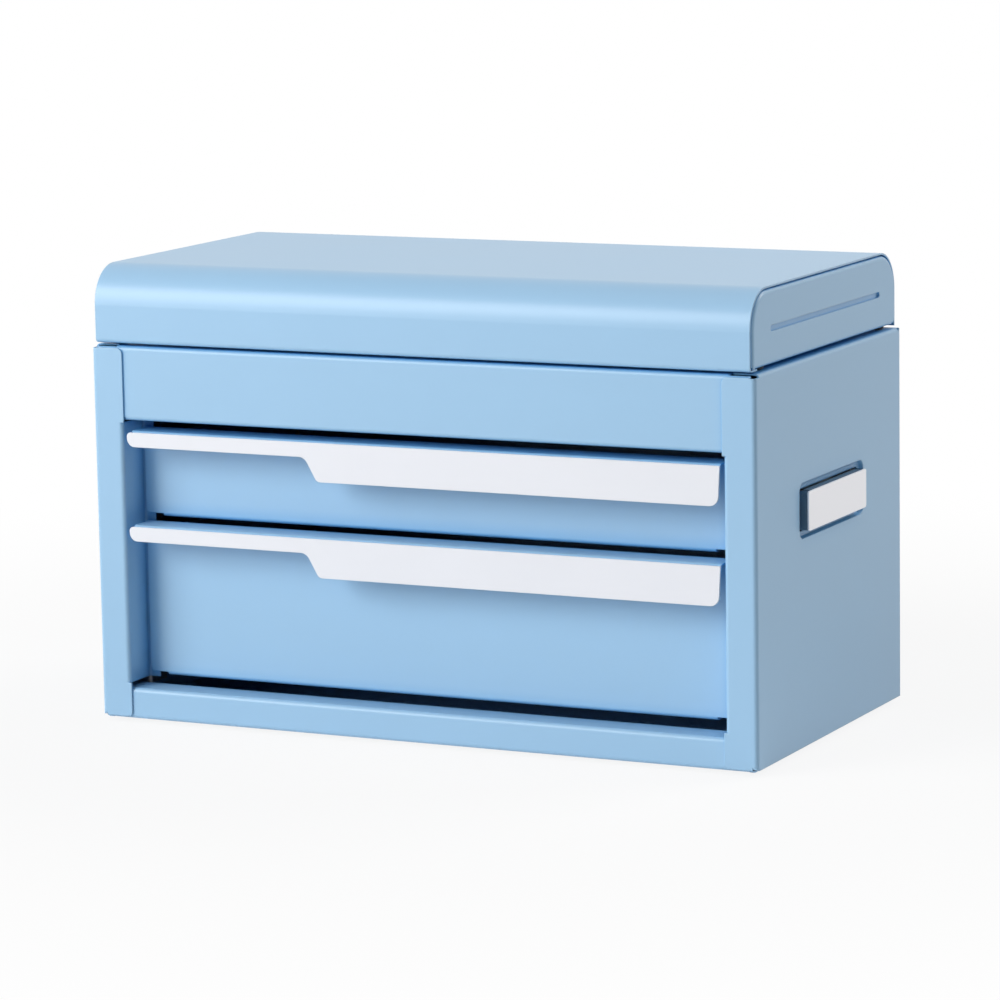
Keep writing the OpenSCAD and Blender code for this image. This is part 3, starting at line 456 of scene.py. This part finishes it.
@dataclass(frozen=True)
class Rubber(Finish):
    """Moulded black rubber with a matt, slightly dusty skin."""

    colour: Colour = (0.018, 0.018, 0.02)
    rough: float = 0.62
    grain: float = 0.25 * MM
    grain_depth: float = 0.02 * MM
    dust: float = 6 * MM
    dust_tone: float = 0.008
    unevenness: float = 0.2

    def paint(self, graph: Graph) -> None:
        """Fills the graph."""
        grain = graph.noise(self.grain, detail=3)
        dust = graph.noise(self.dust, detail=3)
        dusty = tuple(c + self.dust_tone for c in self.colour)
        graph.surface(
            Base_Color=graph.blend(dust, self.colour, dusty),
            Roughness=self.rough + (dust - HALF) * self.unevenness,
            Normal=graph.bump(grain, self.grain_depth),
        )


SKY: Colour = linear(161, 202, 234)
# Tint of the painted shade in folds and gaps of the blue powder coat
SKY_PAINTED_SHADE: Colour = (0.3, 0.68, 0.92)


class Skin(Enum):
    """The finishes that this box has."""

    BLUE = PowderCoat("blue_powder_coat", SKY, SKY_PAINTED_SHADE)
    PRESSED = PowderCoat("blue_powder_coat_pressed", SKY, SKY_PAINTED_SHADE, edge=0.85 * MM)
    WHITE = PowderCoat("white_powder_coat", linear(238, 240, 246), rough=0.42, peel_depth=0.0025 * MM)
    PLATE = PowderCoat("white_satin_plate", linear(246, 246, 250), rough=0.3, metal=0.45)
    SLATE = PowderCoat("slate_paint", linear(80, 110, 132), rough=0.45, edge=0.2 * MM)
    PLATED = PlatedSteel("zinc_plating")
    BRIGHT = BrightSteel("bright_steel")
    RUBBER = Rubber("black_rubber")
    MAT = Rubber("ribbed_mat", (0.03, 0.033, 0.04), rough=0.78, grain=0.5 * MM, grain_depth=0.04 * MM)

    def material(self) -> bpy.types.Material:
        """Gives the finish's material."""
        return self.value.material()


# ---------------------------------------------------------------- shaping


def smooth(mesh: bpy.types.Mesh) -> None:
    """Shades a mesh's curves smooth and keeps its folds sharp."""
    sharp_above = math.radians(28)
    for face in mesh.polygons:
        face.use_smooth = True
    mesh.set_sharp_from_angle(angle=sharp_above)


def dress(node: str, skin: Skin) -> None:
    """Gives a CAD node its finish and smooth curves.

    Args:
        node: The node's name.
        skin: The finish.
    """
    found = bpy.data.objects[node]
    found.data.materials.clear()
    found.data.materials.append(skin.material())
    smooth(found.data)
    LOG.info("dressed %s in %s", node, skin.value.name)


def two_sides(stem: str) -> list[str]:
    """Gives the names of a left and a right node."""
    return [f"{stem}_left", f"{stem}_right"]


def middle(node: str) -> Vector:
    """Gives the middle of a node's box."""
    low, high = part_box(node)
    return (Vector(low) + Vector(high)) / 2


class Piece:
    """A mesh in the making that then takes a CAD node's place."""

    def __init__(self, name: str) -> None:
        """Starts an empty mesh."""
        self.name = name
        self.mesh = bmesh.new()

    def turn(self, profile: Sequence[Point], at: Vector, axis: Vector, steps: int = 28) -> None:
        """Adds a turned solid.

        Args:
            profile: Its outline as (radius, height) pairs, from one end of the axis to the other.
            at: The point of the axis where the height is 0.
            axis: The direction of the axis.
            steps: Number of faces round it.
        """
        across = axis.orthogonal().normalized()
        beside = axis.cross(across)
        rings: list[list[bmesh.types.BMVert]] = []
        for radius, height in profile:
            centre = at + axis * height
            if radius == 0:
                rings.append([self.mesh.verts.new(centre)])
                continue
            ring = []
            for k in range(steps):
                turn = 2 * math.pi * k / steps
                outward = across * math.cos(turn) + beside * math.sin(turn)
                ring.append(self.mesh.verts.new(centre + outward * radius))
            rings.append(ring)
        for lower, upper in zip(rings, rings[1:]):
            for k in range(steps):
                below = [lower[k % len(lower)], lower[(k + 1) % len(lower)]]
                above = [upper[(k + 1) % len(upper)], upper[k % len(upper)]]
                self._join(below + above)

    def _join(self, corners: Iterable[bmesh.types.BMVert]) -> None:
        """Adds a face, leaving out corners that are the same point."""
        self.mesh.faces.new(list(dict.fromkeys(corners)))

    def run(self, heights: Sequence[Point], floor: float, start: float, end: float) -> None:
        """Adds a slab whose top is a wavy section drawn out along y.

        Args:
            heights: The top as (x, z) pairs from left to right.
            floor: The height of its flat underside.
            start: Where it begins along y.
            end: Where it ends along y.
        """
        rows = [
            [self.mesh.verts.new((x, y, z)) for x, z in line]
            for y, line in (
                (start, heights),
                (end, heights),
                (end, [(x, floor) for x, _ in heights]),
                (start, [(x, floor) for x, _ in heights]),
            )
        ]
        for k in range(len(heights) - 1):
            for row, after in zip(rows, rows[1:] + rows[:1]):
                self._join([row[k], row[k + 1], after[k + 1], after[k]])
        self._join([row[0] for row in rows])
        self._join([row[-1] for row in reversed(rows)])

    def block(self, low: Vector, high: Vector, soft: float) -> None:
        """Adds a block with rounded edges.

        Args:
            low: Its lowest corner.
            high: Its highest corner.
            soft: The radius of its edges.
        """
        made = bmesh.ops.create_cube(self.mesh, size=1.0)["verts"]
        size, centre = high - low, (high + low) / 2
        for vert in made:
            vert.co = centre + Vector(v * d for v, d in zip(vert.co, size))
        edges = {edge for vert in made for edge in vert.link_edges}
        bmesh.ops.bevel(
            self.mesh, geom=list(edges), offset=soft, segments=4, profile=0.5, affect="EDGES"
        )

    def place(self, skin: Skin, body: str, slot: str, node: str) -> None:
        """Puts the piece in the scene.

        Args:
            skin: Its finish.
            body: The body that it rides on.
            slot: The record's material slot; not used.
            node: The CAD node that it stands for.
        """
        bmesh.ops.recalc_face_normals(self.mesh, faces=self.mesh.faces)
        mesh = bpy.data.meshes.new(self.name)
        self.mesh.to_mesh(mesh)
        self.mesh.free()
        smooth(mesh)
        mesh.materials.append(skin.material())
        made = bpy.data.objects.new(self.name, mesh)
        bpy.context.scene.collection.objects.link(made)
        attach(made, body)
        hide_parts(node)
        LOG.info("made %s for %s on %s", self.name, node, body)


def domed(radius: float, height: float) -> list[Point]:
    """Gives the profile of a rivet's round head, from its crown to its rim."""
    crown = ((0.0, 1.0), (0.3, 0.97), (0.58, 0.85), (0.8, 0.62), (0.94, 0.33), (1.0, 0.0))
    return [(radius * r, height * h) for r, h in crown]


@dataclass(frozen=True)
class Rivet:
    """A rivet with a round head at one end or at both."""

    head: float
    shank: float
    rise: float = 0.6 * MM

    def add(self, piece: Piece, start: Vector, end: Vector, far_head: bool = True) -> None:
        """Adds the rivet to a piece.

        Args:
            piece: The piece.
            start: Where its first head sits on the metal.
            end: Where the other head sits, or where the shank ends.
            far_head: Whether that end has a head too.
        """
        axis = (end - start).normalized()
        length = (end - start).length
        near = [(r, -h) for r, h in domed(self.head, self.rise)]
        far = [(r, length + h) for r, h in reversed(domed(self.head, self.rise))]
        tip = far if far_head else [(0.0, length)]
        piece.turn([*near, (self.shank, 0.0), (self.shank, length), *tip], start, axis)


RAIL_RIVET = Rivet(2.4 * MM, 1.2 * MM)
HINGE_RIVET = Rivet(2.0 * MM, 1.2 * MM)


@dataclass(frozen=True)
class Mat:
    """A ribbed rubber mat that lies in a drawer or under the lid."""

    pitch: float = 3.2 * MM
    rib_share: float = 0.72
    rib_depth: float = 0.7 * MM
    arc: int = 6

    def build(self, node: str, body: str) -> None:
        """Makes the mat in its node's place."""
        low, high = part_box(node)
        count = max(1, round((high[0] - low[0]) / self.pitch))
        pitch = (high[0] - low[0]) / count
        piece = Piece(f"{node}_ribbed")
        piece.run(list(self._top(low[0], high[2], pitch, count)), low[2], low[1], high[1])
        piece.place(Skin.MAT, body, "drawer_mat", node)

    def _top(self, left: float, top: float, pitch: float, count: int) -> Iterator[Point]:
        """Gives the mat's section: round ribs with a flat groove between them."""
        share = self.rib_share
        groove = top - self.rib_depth
        for rib in range(count):
            start = left + pitch * (rib + (1 - share) / 2)
            yield left + pitch * rib, groove
            for k in range(self.arc + 1):
                turn = math.pi * k / self.arc
                across = pitch * share * (1 - math.cos(turn)) / 2
                yield start + across, groove + self.rib_depth * math.sin(turn)
        yield left + pitch * count, groove


# ---------------------------------------------------------------- sub-assemblies


@dataclass
class Case:
    """The folded case that everything hangs on."""

    foot_radius: float = 6 * MM
    foot_height: float = 2 * MM
    foot_steps: int = 40
    stem_radius: float = 2 * MM
    stem_top: float = 4.4 * MM
    barb_radius: float = 3 * MM
    sheet: float = 0.8 * MM
    buffer_inner: float = 144.3 * MM
    buffer_half: float = 4.5 * MM
    buffer_soft: float = 0.8 * MM

    def build(self) -> None:
        """Dresses the case and makes its feet, mat and fasteners."""
        for node in ("back_panel", "base_pan", "front_fascia", "tray_floor"):
            dress(node, Skin.BLUE)
        for node in two_sides("side_panel"):
            dress(node, Skin.PRESSED)
        for node in two_sides("uprights"):
            dress(node, Skin.PLATED)
        Mat().build("top_mat", "case")
        self._feet()
        self._rail_rivets()
        self._buffers()

    def _feet(self) -> None:
        """Makes the feet, dished below and barbed above the base."""
        r, h = self.foot_radius, self.foot_height
        profile = [
            (0.0, 0.35 * h), (0.28 * r, 0.33 * h), (0.36 * r, 0.2 * h), (0.42 * r, 0.04 * h), (0.47 * r, 0.0),
            (0.86 * r, 0.0), (0.93 * r, 0.05 * h), (0.98 * r, 0.18 * h), (r, 0.36 * h), (r, 0.85 * h),
            (0.98 * r, 0.95 * h), (0.94 * r, h), (self.stem_radius, h), (self.stem_radius, h + self.sheet),
            (self.barb_radius, h + self.sheet), (0.7 * self.barb_radius, self.stem_top - 0.1 * MM),
            (0.5 * self.barb_radius, self.stem_top), (0.0, self.stem_top),
        ]
        low, high = (Vector(corner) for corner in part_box("rubber_feet"))
        piece = Piece("feet_turned")
        for x in (low.x + r, high.x - r):
            for y in (low.y + r, high.y - r):
                piece.turn(profile, Vector((x, y, 0.0)), UP, self.foot_steps)
        piece.place(Skin.RUBBER, "case", "black_rubber", "rubber_feet")

    def _rail_rivets(self) -> None:
        """Makes the rivets that hold the outer rails to the uprights."""
        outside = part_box("rail_rivets")[1][0]
        piece = Piece("rail_rivets_domed")
        for side in (-1, 1):
            for y in RAIL_RIVET_Y:
                for level in LEVELS:
                    z = middle(f"{level}_rail_left").z
                    start = Vector((side * (outside - self.sheet), y, z))
                    RAIL_RIVET.add(piece, start, Vector((side * outside, y, z)), far_head=False)
        piece.place(Skin.PLATED, "case", "plated_steel", "rail_rivets")

    def _buffers(self) -> None:
        """Makes the soft buffers at the back of the rails."""
        low, high = (Vector(corner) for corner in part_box("rail_buffers"))
        piece = Piece("rail_buffers_soft")
        for left, right in ((low.x, -self.buffer_inner), (self.buffer_inner, high.x)):
            for level in LEVELS:
                z = middle(f"{level}_rail_left").z
                piece.block(
                    Vector((left, low.y, z - self.buffer_half)),
                    Vector((right, high.y, z + self.buffer_half)),
                    self.buffer_soft,
                )
        piece.place(Skin.RUBBER, "case", "black_rubber", "rail_buffers")


@dataclass
class Lid:
    """The lid, its hinge and its pads."""

    hinge_length: float = 280 * MM
    rivets: int = 8
    rivet: Rivet = HINGE_RIVET
    pad_radius: float = 3 * MM

    def build(self) -> None:
        """Dresses the lid and makes its rivets and pads."""
        dress("lid_top", Skin.BLUE)
        for node in two_sides("lid_end"):
            dress(node, Skin.PRESSED)
        for node in ("hinge_lid_leaf", "hinge_body_leaf"):
            dress(node, Skin.PLATED)
        dress("hinge_pin", Skin.BRIGHT)
        self._rivets("hinge_lid_rivets", "lid")
        self._rivets("hinge_body_rivets", "case")
        self._pads()

    def _rivets(self, node: str, body: str) -> None:
        """Makes the rivets of one hinge leaf."""
        low, high = (Vector(corner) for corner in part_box(node))
        z = (low.z + high.z) / 2
        pitch = self.hinge_length / self.rivets
        piece = Piece(f"{node}_domed")
        for k in range(self.rivets):
            x = pitch * (k + 0.5) - self.hinge_length / 2
            start = Vector((x, low.y + self.rivet.rise, z))
            self.rivet.add(piece, start, Vector((x, high.y - self.rivet.rise, z)))
        piece.place(Skin.PLATED, body, "plated_steel", node)

    def _pads(self) -> None:
        """Makes the pads that the lid closes on."""
        low, high = (Vector(corner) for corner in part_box("lid_pads"))
        r, h = self.pad_radius, high.z - low.z
        profile = [
            (0.0, 0.0), (0.5 * r, 0.02 * h), (0.78 * r, 0.1 * h), (0.93 * r, 0.28 * h),
            (r, 0.5 * h), (r, h), (0.0, h),
        ]
        piece = Piece("lid_pads_moulded")
        for x in (low.x + r, high.x - r):
            for y in (low.y + r, high.y - r):
                piece.turn(profile, Vector((x, y, low.z)), UP)
        piece.place(Skin.RUBBER, "lid", "black_rubber", "lid_pads")


@dataclass
class Drawer:
    """One drawer with its pull and its slides."""

    level: str
    rivet: Rivet = RAIL_RIVET
    grip: float = 1.6 * MM

    def build(self) -> None:
        """Dresses the drawer and makes its mat and rivets."""
        body = f"{self.level}_drawer"
        dress(f"{self.level}_front", Skin.BLUE)
        dress(f"{self.level}_tray", Skin.BLUE)
        dress(f"{self.level}_pull", Skin.WHITE)
        for part in ("slide", "rail", "cage"):
            for node in two_sides(f"{self.level}_{part}"):
                dress(node, Skin.PLATED)
        for node in two_sides(f"{self.level}_balls"):
            dress(node, Skin.BRIGHT)
        Mat().build(f"{self.level}_mat", body)
        self._rivets(body)

    def _rivets(self, body: str) -> None:
        """Makes the rivets that hold the inner rails to the drawer."""
        node = f"{self.level}_slide_rivets"
        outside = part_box(node)[1][0] - self.rivet.rise
        z = middle(node).z
        piece = Piece(f"{node}_domed")
        for side in (-1, 1):
            for y in RAIL_RIVET_Y:
                start = Vector((side * (outside - self.grip), y, z))
                self.rivet.add(piece, start, Vector((side * outside, y, z)))
        piece.place(Skin.PLATED, body, "plated_steel", node)


@dataclass
class SideHandle:
    """A drop handle in one side panel."""

    side: str

    def build(self) -> None:
        """Dresses the handle."""
        dress(f"handle_grip_{self.side}", Skin.SLATE)
        dress(f"handle_plate_{self.side}", Skin.PLATE)
        dress(f"handle_bracket_{self.side}", Skin.PLATED)
        dress(f"handle_pins_{self.side}", Skin.SLATE)


# ---------------------------------------------------------------- studio


def toward(azimuth: float, elevation: float) -> Vector:
    """Gives the direction from the box to a lamp or the camera.

    Args:
        azimuth: Its turn from the front to the right, in degrees.
        elevation: Its height over the horizon, in degrees.

    Returns:
        The direction, of length 1.
    """
    turn, tilt = math.radians(azimuth), math.radians(elevation)
    level = math.cos(tilt)
    return Vector((math.sin(turn) * level, -math.cos(turn) * level, math.sin(tilt)))


@dataclass(frozen=True)
class Lamp:
    """A soft square lamp that faces the box."""

    name: str
    azimuth: float
    elevation: float
    power: float
    width: float = 1.6
    distance: float = 3.0
    aim: tuple[float, float, float] = (0.0, 0.0, 0.1)

    def build(self) -> None:
        """Makes the lamp."""
        outward = toward(self.azimuth, self.elevation)
        data = bpy.data.lights.new(self.name, "AREA")
        data.shape = "SQUARE"
        data.size = self.width
        data.energy = self.power
        lamp = bpy.data.objects.new(self.name, data)
        lamp.location = Vector(self.aim) + outward * self.distance
        lamp.rotation_mode = "QUATERNION"
        lamp.rotation_quaternion = (-outward).to_track_quat("-Z", "Y")
        bpy.context.scene.collection.objects.link(lamp)
        LOG.info("hung lamp %s", self.name)


@dataclass
class Studio:
    """A pale floor, soft light and a white background."""

    floor_size: float = 14.0
    floor_colour: Colour = (0.86, 0.86, 0.86)
    near_glow: float = 0.88
    glow_from: float = 0.2
    glow_to: float = 0.7
    world_colour: Colour = (0.97, 0.98, 1.0)
    world_light: float = 0.08
    white: tuple[float, float, float, float] = (1.0, 1.0, 1.0, 1.0)
    lamps: tuple[Lamp, ...] = (
        Lamp("key", -42, 20, 58, width=2.0),
        Lamp("front", -28, 30, 21),
        Lamp("rear", 138, 35, 37),
        Lamp("overhead", 10, 84, 14),
    )

    def build(self) -> None:
        """Makes the floor, the world and the lamps."""
        self._floor()
        self._world()
        for lamp in self.lamps:
            lamp.build()

    def _floor(self) -> None:
        """Makes the floor, which is seen brighter further out, where it meets the background."""
        mesh = bpy.data.meshes.new("floor")
        half = self.floor_size / 2
        square = [(-half, -half, 0), (half, -half, 0), (half, half, 0), (-half, half, 0)]
        mesh.from_pydata(square, [], [(0, 1, 2, 3)])
        floor = bpy.data.objects.new("floor", mesh)
        bpy.context.scene.collection.objects.link(floor)
        floor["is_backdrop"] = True
        material = bpy.data.materials.new("floor_white")
        material.use_nodes = True
        graph = Graph(material.node_tree)
        matt = graph.node("ShaderNodeBsdfDiffuse", {}, {"Color": (*self.floor_colour, 1.0)})
        glow = graph.node("ShaderNodeEmission", {}, {"Color": self.white, "Strength": 1.0})
        away = graph.node("ShaderNodeVectorMath", {"operation": "LENGTH"}, {0: graph.place()}).field("Value")
        outer = graph.rise(away, self.glow_from, self.glow_to, self.near_glow)
        mixed = graph.node(
            "ShaderNodeMixShader",
            {},
            {0: self._seen(graph) * outer, 1: matt.out("BSDF"), 2: glow.out("Emission")},
        )
        graph.node("ShaderNodeOutputMaterial", {}, {"Surface": mixed.out("Shader")})
        mesh.materials.append(material)

    @staticmethod
    def _seen(graph: Graph) -> Field:
        """Is 1 for what the camera sees, also in a polished or a clear surface."""
        path = graph.node("ShaderNodeLightPath")
        total = path.field("Is Camera Ray") + path.field("Is Glossy Ray") + path.field("Is Transmission Ray")
        return total.over(0.5)

    def _world(self) -> None:
        """Makes the world: soft light from all round, and white where it is seen."""
        world = bpy.data.worlds.new("studio")
        bpy.context.scene.world = world
        world.use_nodes = True
        graph = Graph(world.node_tree)
        light = graph.node(
            "ShaderNodeBackground",
            {},
            {"Color": (*self.world_colour, 1.0), "Strength": self.world_light},
        )
        white = graph.node("ShaderNodeBackground", {}, {"Color": self.white, "Strength": 1.0})
        mixed = graph.node(
            "ShaderNodeMixShader",
            {},
            {0: self._seen(graph), 1: light.out("Background"), 2: white.out("Background")},
        )
        graph.node("ShaderNodeOutputWorld", {}, {"Surface": mixed.out("Shader")})


@dataclass
class Eye:
    """The camera, where the photograph was taken from."""

    azimuth: float = 25.951
    elevation: float = 9.329
    roll: float = -0.969
    distance: float = 2087.92 * MM
    aim: tuple[float, float, float] = (0.0, -0.3 * MM, 102 * MM)
    slide: tuple[float, float] = (-0.056 * MM, -2.086 * MM)
    focal_pixels: float = 4499.7
    picture_pixels: float = 1000.0
    sensor: float = 36.0
    clip: tuple[float, float] = (0.01, 100.0)

    def build(self) -> None:
        """Makes the camera."""
        turn, lean = math.radians(self.azimuth), math.radians(self.roll)
        back = toward(self.azimuth, self.elevation)
        across = Vector((math.cos(turn), math.sin(turn), 0.0))
        up = back.cross(across)
        place = Vector(self.aim) + back * self.distance + across * self.slide[0] + up * self.slide[1]
        right = across * math.cos(lean) + up * math.sin(lean)
        above = up * math.cos(lean) - across * math.sin(lean)
        data = bpy.data.cameras.new("camera")
        data.sensor_width = self.sensor
        data.lens = self.focal_pixels / self.picture_pixels * self.sensor
        data.clip_start, data.clip_end = self.clip
        camera = bpy.data.objects.new("camera", data)
        camera.matrix_world = Matrix(
            [[right[i], above[i], back[i], place[i]] for i in range(3)] + [[0.0, 0.0, 0.0, 1.0]]
        )
        bpy.context.scene.collection.objects.link(camera)
        bpy.context.scene.camera = camera


def corners() -> list[list[float]]:
    """Gives the shown object's lowest and highest corner as plain lists."""
    return [list(corner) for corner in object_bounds()]


def main() -> None:
    """Builds the scene in order."""
    logging.basicConfig(level=logging.INFO, format="%(message)s")
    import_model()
    bpy.context.scene.view_settings.view_transform = "Standard"
    Case().build()
    Lid().build()
    for level in LEVELS:
        Drawer(level).build()
    for side in ("left", "right"):
        SideHandle(side).build()
    Studio().build()
    Eye().build()
    LOG.info("set the camera")


if __name__ == "__main__":
    main()
